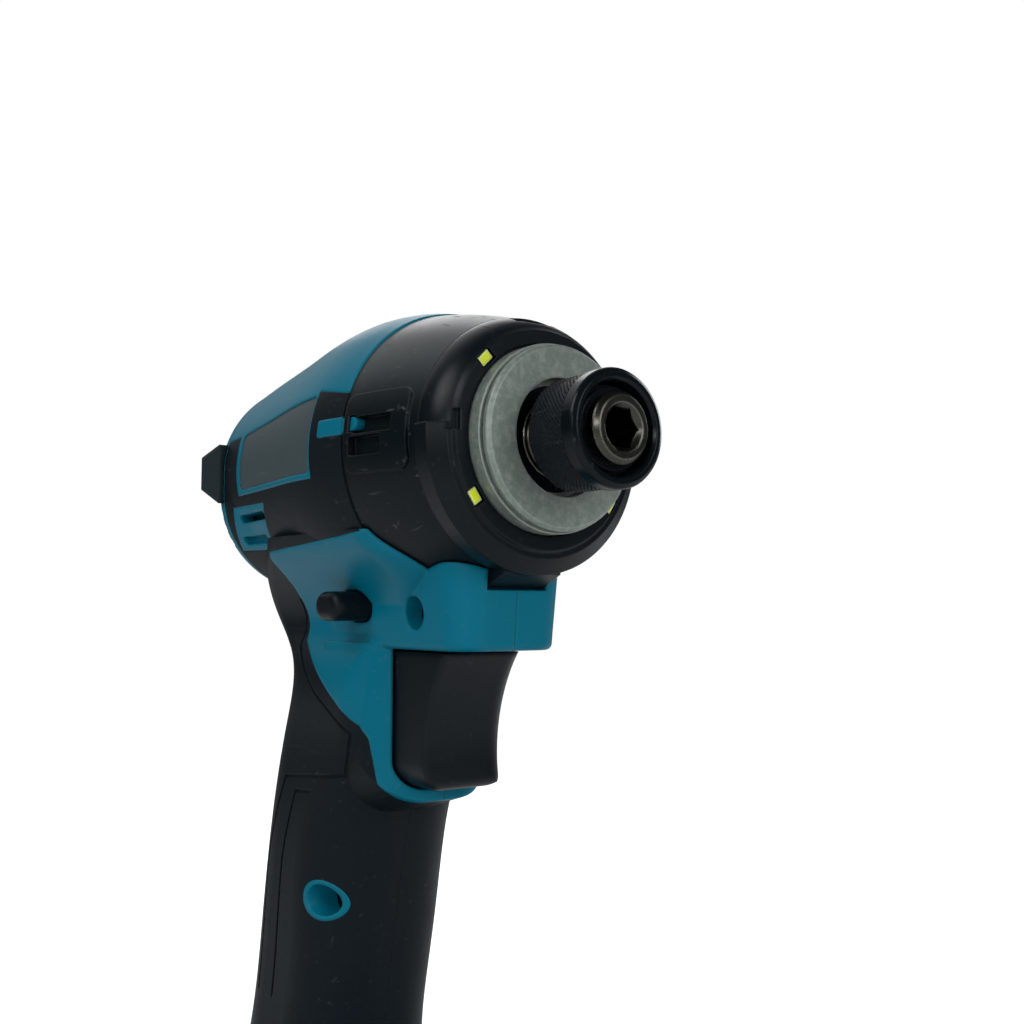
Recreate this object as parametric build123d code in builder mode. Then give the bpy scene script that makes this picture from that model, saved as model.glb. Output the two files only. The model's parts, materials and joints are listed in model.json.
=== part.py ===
import math
import os

from build123d import *

os.makedirs("parts", exist_ok=True)

# Sizes in millimetres. X points to the nose, Y to the tool's left, Z up from the battery's base.

# Lengths along the drive axis, from the tip back to the rear bumper
nose_reach = 15.0
ring_length = 11.0
cover_length = 18.2
gear_length = 39.8
motor_length = 18.0
tail_length = 14.0

# Heights, from the base up
battery_height = 52.0
foot_height = 28.0
handle_drop = 132.0

# Head radii
nose_r = 16.0
nose_hole_r = 10.2
lamp_r = 19.8
ring_r = 22.4
cover_r = 26.4
cover_crown = 0.4
case_r = 23.2
case_wall = 1.7
collar_r = 28.0
waist_r = 26.1
tail_r = 21.6
tail_sag = 3.6

# Walls and clearances
wall = 2.4
skin = 1.2
fit_gap = 0.3
seat_gap = 0.03
run_gap = 0.06
slide_gap = 0.5
seam_gap = 0.06
groove_width = 0.7
groove_depth = 0.4
plate_sunk = 0.2
plate_thick = 0.5

# Anvil, sleeve and bit lock
anvil_r = 6.0
journal_r = 7.0
hex_flats = 6.4
hex_depth = 22.0
sleeve_r = 9.95
sleeve_length = 12.0
sleeve_back = 1.0
ball_r = 1.7
clip_width = 1.0
clip_back = 2.7
bush_r = 9.2
wing_reach = 18.2
wing_width = 9.0
wing_length = 4.2
lug_width = 11.0
lug_height = 7.2

# Hammer, spindle and gears
hammer_r = 20.2
hammer_length = 15.0
hammer_spring_r = 13.0
hammer_wire = 2.4
spindle_r = 8.2
pilot_r = 4.0
flange_r = 16.6
flange_thick = 3.0
gear_module = 0.75
sun_teeth = 12
planet_teeth = 18
ring_teeth = sun_teeth + 2 * planet_teeth
gear_width = 5.2
backlash = 0.16
pin_r = 2.5
cam_ball_r = 2.2

# Motor
stator_r = 19.6
rotor_r = 10.4
shaft_r = 2.5
coil_count = 6
coil_mid_r = 14.0
coil_over = 1.5
tooth_width = 4.0
tooth_length = 6.2
fan_blades = 9
bearing_r = 13.0
motor_bearing_r = 6.5

# Handle: half widths of the trigger block, trigger and foot
block_half = 11.6
block_drop = 36.5
block_top = 12.0
block_length = 48.6
block_flare = 5.0
block_corner = 6.0
trigger_half = 9.4
trigger_drop = 62.3
trigger_round = 5.0
guard_half = 13.1
guard_reach = 7.6
guard_round = 10.0
foot_half = 33.0
switch_length = 19.0
switch_width = 18.0
switch_height = 24.7
stem_r = 2.4
stem_drop = 46.0
lever_length = 8.6
lever_height = 5.6
lever_throw = 6.8
bumper_half = 22.8

# Battery pack
pack_length = 112.0
pack_width = 75.0
pack_corner = 9.0
pack_split = 26.0
rail_width = 56.0
neck_width = 46.0
rail_thick = 4.0
cell_r = 9.1
cell_end = 2.4
cell_gap = 0.4
button_width = 27.0
button_travel = 3.5
nut_r = 3.0
nut_hole_r = 1.65
nut_length = 8.0

# Stations along the drive axis
total_length = nose_reach + ring_length + cover_length + gear_length + motor_length + tail_length
tip_x = total_length / 2
nose_x = tip_x - nose_reach
ring_x = nose_x - ring_length
seam_x = ring_x - cover_length
motor_x = seam_x - gear_length
fan_x = motor_x - motor_length
rear_x = fan_x - tail_length
tail_x = fan_x - 2.0
hand_x = seam_x - 13.8
foot_z = battery_height
foot_top = foot_z + foot_height
axis_z = foot_top + handle_drop

head_plane = Plane(origin=(0, 0, axis_z), x_dir=(1, 0, 0), z_dir=(0, -1, 0))
drive_axis = Axis((0, 0, axis_z), (1, 0, 0))
sag_plane = Plane(origin=(0, 0, axis_z - tail_sag), x_dir=(1, 0, 0), z_dir=(0, -1, 0))
sag_axis = Axis((0, 0, axis_z - tail_sag), (1, 0, 0))


def across(x):
    """Plane across the drive axis; its x is the tool's left and its y is up."""
    return Plane(origin=(x, 0, axis_z), x_dir=(0, 1, 0), z_dir=(1, 0, 0))


def turned(outline):
    """Solid of revolution about the drive axis from (x, radius) corners."""
    with BuildPart() as body:
        with BuildSketch(head_plane):
            with BuildLine():
                Polyline(*outline, close=True)
            make_face()
        revolve(axis=drive_axis)
    return body.part


def tube(x_back, x_front, r_in, r_out):
    """Plain ring about the drive axis."""
    return turned([(x_back, r_in), (x_front, r_in), (x_front, r_out), (x_back, r_out)])


def coil_spring(x_back, x_front, mean_r, wire, turns):
    """Round-wire compression spring about the drive axis, between two planes."""
    height = x_front - x_back - wire
    with BuildPart() as body:
        with BuildLine():
            start = (x_back + wire / 2, 0, axis_z)
            path = Helix(height / turns, height, mean_r, center=start, direction=(1, 0, 0))
        with BuildSketch(Plane(origin=path @ 0, z_dir=path % 0)):
            RegularPolygon(radius=wire / 2, side_count=8)
        sweep(path=path, is_frenet=True)
    return body.part


def tooth_flank(teeth, addendum, dedendum, thin):
    """Half a tooth, tip to root: (radius, half angle) pairs along the involute of a 20 degree tooth."""
    pitch_r = gear_module * teeth / 2
    base_r = pitch_r * math.cos(math.radians(20.0))
    half = math.pi / (2 * teeth) - thin / (2 * pitch_r)
    inv_pitch = math.tan(math.radians(20.0)) - math.radians(20.0)
    pairs = []
    for step in range(5):
        r = pitch_r + addendum - (addendum + dedendum) * step / 4
        spread = math.acos(base_r / max(r, base_r))
        pairs.append((r, half + inv_pitch - (math.tan(spread) - spread)))
    return pairs


def gear_points(teeth, flank, turn):
    """Closed outline of a gear whose first tooth points along the sketch's x, turned by an angle."""
    points = []
    for tooth in range(teeth):
        centre = turn + tooth * 2 * math.pi / teeth
        rising = [(r, centre - a) for r, a in reversed(flank)]
        falling = [(r, centre + a) for r, a in flank]
        points += [(r * math.cos(a), r * math.sin(a)) for r, a in rising + falling]
    return points


# Outer form of the housing: a tapered barrel, a raked handle, a trigger block with guard, and a foot.


def barrel(inset):
    """Motor barrel behind the hammer case cover, its rear end sagging a little below the axis."""
    with BuildPart() as body:
        with BuildSketch(head_plane):
            with BuildLine():
                crown = Spline(
                    (seam_x, cover_r + 0.3 - inset),
                    (seam_x - 9, collar_r - inset),
                    (seam_x - 29, waist_r - inset),
                    (tail_x, tail_r - inset),
                    tangents=[(-1, 0.22), (-1, -0.16)],
                )
                Line(crown @ 1, (tail_x, 0))
                Line((tail_x, 0), (seam_x, 0))
                Line((seam_x, 0), crown @ 0)
            make_face()
        revolve(axis=drive_axis)
        with BuildSketch(sag_plane):
            with BuildLine():
                Polyline(
                    (seam_x - 24, 0),
                    (seam_x - 24, tail_r - 0.8 - inset),
                    (tail_x, tail_r - inset),
                    (tail_x, 0),
                    close=True,
                )
            make_face()
        revolve(axis=sag_axis)
    return body.part


# Drop below the drive axis, front, rear, width and front corner radius of the handle at each station
handle_stations = (
    (15.0, hand_x + 17.5, hand_x - 36.0, 46.4, 6.0),
    (19.0, hand_x + 20.5, hand_x - 40.0, 41.6, 8.0),
    (23.0, hand_x + 21.5, hand_x - 45.0, 33.0, 8.0),
    (28.0, hand_x + 16.0, hand_x - 47.4, 25.0, 5.0),
    (38.0, hand_x + 3.0, hand_x - 37.4, 27.2, 5.0),
    (52.0, hand_x + 0.5, hand_x - 37.4, 29.4, 7.0),
    (68.0, hand_x - 4.0, hand_x - 41.2, 31.4, 13.0),
    (88.0, hand_x - 8.8, hand_x - 44.8, 32.0, 13.4),
    (handle_drop - 22.0, hand_x - 13.0, hand_x - 49.2, 31.0, 13.0),
    (handle_drop - 4.0, hand_x - 14.0, hand_x - 53.8, 34.0, 14.0),
    (handle_drop + 6.0, hand_x - 12.0, hand_x - 56.0, 40.0, 16.8),
)
rear_round = 0.42


def handle(inset):
    """Raked handle, flared at the top to meet the barrel and at the bottom to meet the foot."""
    with BuildPart() as body:
        for drop, front, rear, width, corner in handle_stations:
            side = width - 2 * inset
            with BuildSketch(Plane.XY.offset(axis_z - drop)) as section:
                with Locations(((front + rear) / 2, 0)):
                    Rectangle(front - rear - 2 * inset, side)
                fillet(section.vertices().group_by(Axis.X)[0], rear_round * side)
                fillet(section.vertices().group_by(Axis.X)[-1], corner - 0.9 * inset)
        loft()
    return body.part


block_front = hand_x + 29.3
with BuildPart() as block:
    with BuildSketch(Plane.XY.offset(axis_z - block_drop)):
        with Locations((block_front - block_length / 2, 0)):
            RectangleRounded(block_length, 2 * block_half, block_corner)
    extrude(amount=block_drop - block_top, taper=-block_flare)
    fillet(block.faces().sort_by(Axis.Z)[0].edges(), 1.2)

# Trigger guard: the rounded front of the grip on both sides of the trigger, with a lip under it
lip_x = hand_x + guard_reach
lip_top = trigger_drop + slide_gap
lip_thick = 2.2
guard_top = block_drop - 1.0
guard_back = hand_x - 16.0
guard_low = lip_top + 9.0


def guard(inset):
    """The guard with its sides and underside set in by a skin's thickness."""
    half = guard_half - inset
    lip_end = inset - lip_top - lip_thick
    root = inset - guard_low
    with BuildPart() as body:
        with BuildSketch(across(lip_x)) as front:
            with Locations((0, lip_end)):
                Rectangle(2 * half, guard_low, align=(Align.CENTER, Align.MIN))
            fillet(front.vertices().group_by(Axis.Y)[0], guard_round - inset)
        with BuildSketch(across(guard_back)) as back:
            with Locations((0, root)):
                Rectangle(2 * half, guard_low, align=(Align.CENTER, Align.MIN))
            fillet(back.vertices().group_by(Axis.Y)[0], guard_round - inset)
        loft()
        with BuildSketch(Plane.XY.offset(axis_z - guard_low)):
            with Locations((lip_x, 0)):
                RectangleRounded(4 * guard_round, 2 * half, guard_round - inset, align=(Align.MAX, Align.CENTER))
        extrude(amount=guard_low - guard_top, mode=Mode.INTERSECT)
    return body.part


with BuildPart() as foot:
    with BuildSketch(Plane.XZ):
        with BuildLine():
            Polyline(
                (rear_x + 1, foot_z),
                (hand_x + 22, foot_z),
                (hand_x + 22, foot_z + 15),
                (hand_x - 8, foot_top),
                (rear_x + 3, foot_top),
                close=True,
            )
        make_face()
    extrude(amount=foot_half, both=True)
    fillet(foot.edges().filter_by(Axis.Y).group_by(Axis.Z)[-1], 5.0)
    fillet(foot.edges().filter_by(Axis.Y).sort_by(Axis.X)[-1:], 3.0)
    with BuildSketch(Plane.XY.offset(foot_z)):
        with Locations(((rear_x + hand_x + 23) / 2, 0)):
            RectangleRounded(hand_x + 21 - rear_x, 2 * foot_half, 10.0)
    extrude(amount=foot_height, mode=Mode.INTERSECT)

# Front of the head: outer form of the cover and lamp ring, grown by a clearance
lamp_x = nose_x - 4.6


def head_form(grow):
    """Everything ahead of the housing's seam, back from the lamp ring's face."""
    with BuildPart() as body:
        with BuildSketch(head_plane):
            with BuildLine():
                Line((seam_x, 0), (seam_x, cover_r + grow))
                ThreePointArc(
                    (seam_x, cover_r + grow),
                    ((seam_x + ring_x) / 2, (cover_r + ring_r) / 2 + cover_crown + grow),
                    (ring_x, ring_r + grow),
                )
                ThreePointArc(
                    (ring_x, ring_r + grow),
                    (ring_x + 3.2, lamp_r + 1.7 + grow),
                    (lamp_x - 0.9, lamp_r + grow),
                )
                Polyline((lamp_x - 0.9, lamp_r + grow), (lamp_x, lamp_r - 0.7 + grow), (lamp_x, 0), (seam_x, 0))
            make_face()
        revolve(axis=drive_axis)
    return body.part


# Direction lever, shown pushed over to the right as in use
lever_x = hand_x - 3.4
lever_drop = 28.6
lever_side = 13.2
peg_drop = lever_drop + 4.0
with BuildPart() as lever:
    with BuildSketch(Plane.XZ.offset(lever_side + lever_throw)):
        with Locations((lever_x, axis_z - lever_drop)):
            SlotOverall(lever_length, lever_height)
    extrude(amount=-(2 * lever_side + lever_throw))
    fillet(lever.faces().sort_by(Axis.Y)[0].edges(), 1.5)
    fillet(lever.faces().sort_by(Axis.Y)[-1].edges(), 1.5)
    with Locations((lever_x, -lever_throw / 2, axis_z - peg_drop)):
        Box(2.0, 3.0, 3.2)

# Screws that hold the housing halves: (x, drop) of each
screw_spots = (
    (hand_x + 15.6, 29.8),
    (hand_x - 14.4, 85.8),
    (hand_x - 32.0, handle_drop - 12.0),
    (hand_x + 4.0, handle_drop + 11.0),
)
head_r = 2.8
head_thick = 2.2
screw_r = 1.5
head_depth = 6.5
screw_reach = 8.0
boss_r = 4.0


def screw_holes(grow):
    """Heads and shanks of the housing screws, lying along Y, grown by a clearance."""
    with BuildPart() as body:
        for x, drop in screw_spots:
            with BuildSketch(Plane.XZ.offset(-screw_reach - grow)):
                with Locations((x, axis_z - drop)):
                    Circle(screw_r + grow)
            extrude(amount=screw_reach + head_depth + grow)
            with BuildSketch(Plane.XZ.offset(head_depth - grow)):
                with Locations((x, axis_z - drop)):
                    Circle(head_r + grow)
            extrude(amount=head_thick + 2 * grow)
    return body.part


with BuildPart() as housing_screws:
    add(screw_holes(0.0))
    for x, drop in screw_spots:
        with BuildSketch(Plane.XZ.offset(head_depth + head_thick)):
            with Locations((x, axis_z - drop)):
                RegularPolygon(radius=1.6, side_count=6)
        extrude(amount=-1.4, mode=Mode.SUBTRACT)

# Catch on each side: a tab of the housing that reaches into the cover's pad
tab_rise = 3.0
tab_height = 2.4
tab_reach = 4.4


def catch_tabs(grow):
    """Both tabs, grown by a clearance."""
    end = seam_x + tab_reach + grow
    with BuildPart() as body:
        add(
            turned(
                [
                    (seam_x - 1.5, cover_r - 2.2 - grow),
                    (end, cover_r - 2.2 - grow),
                    (end, cover_r - 0.1 + grow),
                    (seam_x - 1.5, cover_r + 0.2 + grow),
                ]
            )
        )
        with BuildSketch(Plane.XZ):
            with Locations((end, axis_z + tab_rise)):
                RectangleRounded(12.0, tab_height + 2 * grow, 1.1, align=(Align.MAX, Align.CENTER))
        extrude(amount=60, both=True, mode=Mode.INTERSECT)
    return body.part


# Black soft grip: a skin over barrel and handle, bounded by the colour line on the side
with BuildPart() as grip_area:
    with BuildSketch(head_plane) as area:
        with BuildLine():
            Polyline(
                (seam_x, 9.0),
                (seam_x, -15.4),
                (hand_x + 6.7, -16.0),
                (hand_x - 24.6, -17.8),
                (hand_x - 26.0, -26.5),
                (hand_x - 24.4, -35.6),
                (hand_x - 4.4, -49.0),
                (hand_x + 0.8, -53.4),
                (hand_x + 1.8, -57.4),
                (hand_x + 2.8, 0.6 - lip_top),
                (hand_x + 4.6, -lip_top - 1.8),
                (hand_x + 7.0, -lip_top - 3.4),
                (hand_x + 40.0, -lip_top - 3.8),
                (hand_x + 40.0, 3 - handle_drop),
                (rear_x - 10.0, 3 - handle_drop),
                (rear_x - 10.0, 7.0),
                (hand_x - 36.0, 7.0),
                (hand_x + 5.2, 10.4),
                close=True,
            )
        make_face()
        fillet(area.vertices().sort_by(Axis.X)[4:-4], 1.6)
        with BuildLine():
            Polyline(
                (hand_x - 37.0, -5.6),
                (hand_x + 4.4, -5.6),
                (hand_x + 5.4, 20.0),
                (hand_x - 36.5, 20.0),
                close=True,
            )
        make_face(mode=Mode.SUBTRACT)
        with BuildLine():
            Polyline(
                (hand_x - 42.0, -7.6),
                (hand_x - 22.3, -8.0),
                (hand_x - 29.0, -16.9),
                (hand_x - 45.0, -16.6),
                close=True,
            )
        make_face(mode=Mode.SUBTRACT)
        with Locations((screw_spots[1][0], -screw_spots[1][1])):
            Circle(boss_r, mode=Mode.SUBTRACT)
        with Locations((seam_x - 1.2, tab_rise)):
            RectangleRounded(11.0, tab_height + 2 * groove_depth, 0.6, mode=Mode.SUBTRACT)
    extrude(amount=60, both=True)
    with BuildSketch(head_plane):
        with Locations((screw_spots[1][0], -screw_spots[1][1])):
            Circle(boss_r)
    extrude(amount=-60)

# Panel lines pressed into the soft grip
with BuildPart() as grip_lines:
    with BuildSketch(head_plane):
        with BuildLine():
            Polyline(
                (hand_x - 26.4, -27.0),
                (hand_x - 26.2, -36.5),
                (hand_x - 15.6, -45.6),
                (hand_x - 3.6, -52.8),
                (hand_x - 6.4, -61.0),
                (hand_x - 27.4, -63.2),
                (hand_x - 33.0, -79.0),
                (hand_x - 38.0, 24.0 - handle_drop),
            )
        trace(line_width=groove_width)
        with BuildLine():
            Polyline(
                (hand_x - 16.0, -65.0),
                (hand_x - 22.6, -65.6),
                (hand_x - 26.4, -79.0),
                (hand_x - 31.6, 24.0 - handle_drop),
            )
        trace(line_width=groove_width)
    extrude(amount=60, both=True)
    add(handle(groove_depth), mode=Mode.SUBTRACT)

# Rear end of the barrel
cap_back = rear_x + 1.4


def rear_cap(grow):
    """Rounded end of the barrel, grown outwards by a thickness."""
    with BuildPart() as body:
        with BuildSketch(head_plane):
            with BuildLine():
                Line((tail_x - 0.1, 0), (tail_x - 0.1, tail_r + grow))
                ThreePointArc(
                    (tail_x - 0.1, tail_r + grow),
                    (tail_x - 7.0 - 0.6 * grow, tail_r - 2.9 + 0.8 * grow),
                    (cap_back - grow, tail_r - 9.0),
                )
                Line((cap_back - grow, tail_r - 9.0), (cap_back - grow, 0))
                Line((cap_back - grow, 0), (tail_x - 0.1, 0))
            make_face()
        revolve(axis=drive_axis)
        add(body.part.moved(Location((0, 0, -tail_sag))))
    return body.part


with BuildPart() as skin_core:
    add(barrel(skin))
    add(handle(skin))
    add(guard(skin))
    add(block.part)
    add(foot.part)
    add(head_form(fit_gap))
    add(rear_cap(fit_gap))

with BuildPart() as grip_skin:
    add(barrel(0.0))
    add(handle(0.0))
    add(guard(0.0))
    add(skin_core.part, mode=Mode.SUBTRACT)
    add(grip_area.part, mode=Mode.INTERSECT)
    add(grip_lines.part, mode=Mode.SUBTRACT)


# Hollow of the housing: seats for hammer case, gear plate and stator, handle, switch and foot
plate_x = motor_x + 3.0
switch_x = hand_x - 15.5
switch_z = axis_z - 34.0
control_x = hand_x - 27.0
control_length = 44.0
control_width = 48.0
control_low = foot_z + 14.8
with BuildPart() as hollow:
    add(handle(wall + skin))
    for x, drop in screw_spots:
        with BuildSketch(Plane.XZ):
            with Locations((x, axis_z - drop)):
                Circle(boss_r)
        extrude(amount=40, both=True, mode=Mode.SUBTRACT)
    with BuildSketch(Plane.XY.offset(control_low - fit_gap)):
        with Locations((control_x, 0)):
            RectangleRounded(control_length + 4 * slide_gap, control_width + 4 * slide_gap, 3.0)
    extrude(amount=foot_top - wall - control_low + fit_gap)
    with Locations((switch_x, 0, switch_z + 2 * slide_gap)):
        Box(
            switch_length + 2 * slide_gap,
            switch_width + 2 * fit_gap,
            switch_height + 2 * slide_gap + fit_gap,
            align=(Align.CENTER, Align.CENTER, Align.MAX),
        )
    with BuildSketch(across(hand_x - 6.5)) as trigger_room:
        with Locations((0, -lip_top)):
            Rectangle(2 * trigger_half + 2 * slide_gap, lip_top - block_drop, align=(Align.CENTER, Align.MIN))
        fillet(trigger_room.vertices().group_by(Axis.Y)[0], trigger_round + slide_gap)
    extrude(amount=38.0)
    with BuildSketch(Plane.XZ):
        with Locations((lever_x, axis_z - lever_drop)):
            SlotOverall(lever_length + 2 * fit_gap, lever_height + 2 * fit_gap)
    extrude(amount=foot_half, both=True)
    add(
        turned(
            [
                (seam_x, 0),
                (seam_x, case_r + seat_gap),
                (plate_x, case_r + seat_gap),
                (plate_x, stator_r + seat_gap),
                (fan_x - 0.5, stator_r + seat_gap),
                (fan_x - 0.5, tail_r - wall),
                (tail_x, tail_r - wall),
                (tail_x, 0),
            ]
        )
    )

# Channel under the foot for the battery's rails, open to the front
channel_x = rear_x + 8.0
rail_low = foot_z + 5.0
rail_top = rail_low + rail_thick
channel_low = rail_low - slide_gap
ceiling = rail_top + 3.5
with BuildPart() as channel:
    with BuildSketch(Plane(origin=(channel_x, 0, foot_z), x_dir=(0, 1, 0), z_dir=(1, 0, 0))):
        with Locations((0, 2.0)):
            Rectangle(neck_width + 2 * slide_gap, 6.0)
        with Locations((0, channel_low - foot_z)):
            Rectangle(rail_width + 2 * slide_gap, ceiling - channel_low, align=(Align.CENTER, Align.MIN))
    extrude(amount=120)

# Ventilation slots beside the motor, right and left
with BuildPart() as vents:
    for drop, shift, length in ((10.2, -32.0, 16.0), (14.6, -35.4, 13.0)):
        with BuildSketch(Plane.XZ):
            with Locations((hand_x + shift, axis_z - drop)):
                SlotOverall(length, 1.7)
        extrude(amount=40, both=True)
    with Locations((hand_x - 32.0, 0, axis_z - 12.0)):
        Box(40.0, 34.0, 16.0, mode=Mode.SUBTRACT)

# Bare data plate, sunk into the right side of the barrel
with BuildPart() as plate_area:
    with BuildSketch(head_plane) as plate_shape:
        with BuildLine():
            Polyline(
                (hand_x - 35.0, -4.5),
                (hand_x + 4.0, -4.5),
                (hand_x + 4.8, 9.6),
                (hand_x - 34.5, 7.0),
                close=True,
            )
        make_face()
        fillet(plate_shape.vertices(), 1.0)
    extrude(amount=60)

with BuildPart() as plate_pocket:
    add(plate_area.part)
    add(barrel(plate_sunk + plate_thick + seat_gap), mode=Mode.SUBTRACT)

with BuildPart() as data_plate:
    add(plate_area.part)
    add(barrel(plate_sunk), mode=Mode.INTERSECT)
    add(barrel(plate_sunk + plate_thick), mode=Mode.SUBTRACT)

tongue_half = 6.3
tongue_drop = 25.2
tongue_height = 6.0
tongue_back = ring_x - 4.6
tongue_room = 14.0
nut_x = hand_x - 30.0
nut_z = foot_z + 20.0

with BuildPart() as shell:
    add(barrel(0.0))
    add(handle(0.0))
    add(block.part)
    add(guard(0.0))
    add(foot.part)
    add(head_form(fit_gap), mode=Mode.SUBTRACT)
    add(rear_cap(fit_gap), mode=Mode.SUBTRACT)
    add(grip_skin.part, mode=Mode.SUBTRACT)
    add(grip_lines.part, mode=Mode.SUBTRACT)
    add(hollow.part, mode=Mode.SUBTRACT)
    add(channel.part, mode=Mode.SUBTRACT)
    add(vents.part, mode=Mode.SUBTRACT)
    add(plate_pocket.part, mode=Mode.SUBTRACT)
    add(screw_holes(seat_gap), mode=Mode.SUBTRACT)
    for x, drop in screw_spots:
        with BuildSketch(Plane.XZ.offset(head_depth)):
            with Locations((x, axis_z - drop)):
                Circle(head_r + fit_gap)
        extrude(amount=40, mode=Mode.SUBTRACT)
    with Locations((tongue_back + tongue_room / 2, 0, axis_z - tongue_drop + tongue_height / 2)):
        Box(
            tongue_room + 2 * fit_gap,
            2 * tongue_half + 2 * fit_gap,
            tongue_height + 4 * fit_gap,
            mode=Mode.SUBTRACT,
        )
    for side in (-1, 1):
        with Locations((nut_x, side * (foot_half - nut_length / 2), nut_z)):
            Cylinder(nut_r + seat_gap, nut_length, rotation=(90, 0, 0), mode=Mode.SUBTRACT)
    add(catch_tabs(0.0))

with BuildPart() as housing_right:
    add(shell.part)
    split(bisect_by=Plane.XZ.offset(seam_gap / 2), keep=Keep.TOP)

with BuildPart() as housing_left:
    add(shell.part)
    split(bisect_by=Plane.XZ.offset(-seam_gap / 2), keep=Keep.BOTTOM)

with BuildPart() as soft_grip_right:
    add(grip_skin.part)
    split(bisect_by=Plane.XZ.offset(seam_gap / 2), keep=Keep.TOP)

with BuildPart() as soft_grip_left:
    add(grip_skin.part)
    split(bisect_by=Plane.XZ.offset(-seam_gap / 2), keep=Keep.BOTTOM)


# Hammer case: cast nose, hammer chamber, and a seat for the ring gear at the back
chamber_r = hammer_r + slide_gap
gear_seat_r = case_r - case_wall
wing_x = nose_x - 18.6
wing_room_x = wing_x + wing_length + slide_gap
wing_room_r = wing_reach + 1.2
neck_r = nose_r + 0.4
case_back = plate_x + 8.0
seat_x = case_back + 8.2
case_steps = (
    (seam_x + 4.2, case_r),
    (wing_x + 0.2, chamber_r + case_wall),
    (wing_room_x, wing_room_r + case_wall),
    (nose_x - 6.5, neck_r),
)
with BuildPart() as hammer_case:
    add(
        turned(
            [
                (nose_x, nose_hole_r),
                (nose_x, nose_r - 0.6),
                (nose_x - 0.6, nose_r),
                (nose_x - 1.4, nose_r),
                (nose_x - 1.4, nose_r - 0.7),
                (nose_x - 2.0, nose_r - 0.7),
                (nose_x - 2.0, neck_r),
                *reversed(case_steps),
                (case_back, case_r),
                (case_back, gear_seat_r + seat_gap),
                (seat_x, gear_seat_r + seat_gap),
                (seat_x, chamber_r),
                (wing_x + 0.2, chamber_r),
                (wing_x + 0.2, wing_room_r),
                (wing_room_x, wing_room_r),
                (wing_room_x, bush_r + seat_gap),
                (nose_x - 3.0, bush_r + seat_gap),
                (nose_x - 3.0, nose_hole_r),
            ]
        )
    )

with BuildPart() as case_room:
    add(
        turned(
            [
                (seam_x - 5, 0),
                (seam_x - 5, case_r + seat_gap),
                *[(x, r + seat_gap) for x, r in case_steps],
                (nose_x, neck_r + seat_gap),
                (nose_x, 0),
            ]
        )
    )

with BuildPart() as anvil_bush:
    add(tube(wing_room_x + 0.1, nose_x - 3.1, journal_r + run_gap, bush_r))

# Dark cover over the hammer case, with a catch pad on each side
pad_proud = 0.7
with BuildPart() as pads:
    add(head_form(pad_proud))
    with BuildSketch(Plane.XZ):
        with Locations((seam_x + 8.8, axis_z + 1.3)):
            RectangleRounded(15.0, 14.0, 2.0)
    extrude(amount=60, both=True, mode=Mode.INTERSECT)

with BuildPart() as pad_pockets:
    with BuildSketch(Plane.XZ):
        with Locations((seam_x + 8.2, axis_z + 2.6)):
            RectangleRounded(9.6, 3.0, 0.4)
        with Locations((seam_x + 6.6, axis_z - 1.0)):
            RectangleRounded(8.2, 3.4, 0.4)
    extrude(amount=60, both=True)
    add(head_form(pad_proud - 1.7), mode=Mode.SUBTRACT)

with BuildPart() as case_cover:
    add(head_form(0.0))
    with Locations((ring_x + 15.0, 0, axis_z)):
        Box(30.0, 80.0, 80.0, mode=Mode.SUBTRACT)
    add(pads.part)
    add(pad_pockets.part, mode=Mode.SUBTRACT)
    add(catch_tabs(fit_gap), mode=Mode.SUBTRACT)
    add(case_room.part, mode=Mode.SUBTRACT)
    with Locations((tongue_back + tongue_room / 2, 0, axis_z - tongue_drop + tongue_height / 2)):
        Box(
            tongue_room + 2 * fit_gap,
            2 * tongue_half + 2 * fit_gap,
            tongue_height + 4.0,
            mode=Mode.SUBTRACT,
        )

# Lamp ring: black bumper around the nose with four lamp windows and a tongue into the trigger block
window_r = 18.2
window_angles = (45, 135, 215, 325)
lamp_wide = 1.7
lamp_tall = 2.6
board_x = lamp_x - 2.6
board_r = lamp_r - 0.6
chin_r = ring_r + 0.9
with BuildPart() as chin:
    add(
        turned(
            [
                (ring_x + 0.1, 0),
                (ring_x + 0.1, chin_r),
                (ring_x + 3.8, chin_r),
                (lamp_x - 0.6, lamp_r + 0.7),
                (lamp_x - 0.2, 0),
            ]
        )
    )
    with Locations((ring_x, 0, axis_z + 1.5)):
        Box(40.0, 80.0, 40.0, align=(Align.CENTER, Align.CENTER, Align.MAX), mode=Mode.INTERSECT)

with BuildPart() as lamp_ring:
    add(head_form(0.0))
    with Locations((ring_x + 0.1 - 20.0, 0, axis_z)):
        Box(40.0, 80.0, 80.0, mode=Mode.SUBTRACT)
    add(chin.part)
    with BuildSketch(head_plane):
        with BuildLine():
            Polyline(
                (tongue_back, tongue_height - tongue_drop),
                (ring_x + 2.5, tongue_height - tongue_drop),
                (ring_x + 2.5, 0.3 - chin_r),
                (block_front + 0.7, -tongue_drop),
                (tongue_back, -tongue_drop),
                close=True,
            )
        make_face()
    extrude(amount=tongue_half, both=True)
    add(case_room.part, mode=Mode.SUBTRACT)
    add(tube(seam_x, board_x + 1.4, 0.1, board_r + 0.2), mode=Mode.SUBTRACT)
    with BuildSketch(across(board_x)):
        for angle in window_angles:
            with PolarLocations(window_r, 1, start_angle=angle):
                Rectangle(lamp_wide + 2 * fit_gap, lamp_tall + 2 * fit_gap)
    extrude(amount=10, mode=Mode.SUBTRACT)
    add(tube(board_x, lamp_x + 1, 0.1, nose_r + 0.7), mode=Mode.SUBTRACT)
    for side in (-1, 1):
        with Locations((lamp_x + 0.4, side * (lamp_r - 0.4), axis_z + 2.0)):
            Box(2.6, 2.4, 3.4, mode=Mode.SUBTRACT)
    with Locations((lamp_x - 3.5, 0, axis_z + lamp_r + 2.0)):
        Box(3.0, 9.0, 2.0, mode=Mode.SUBTRACT)

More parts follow.
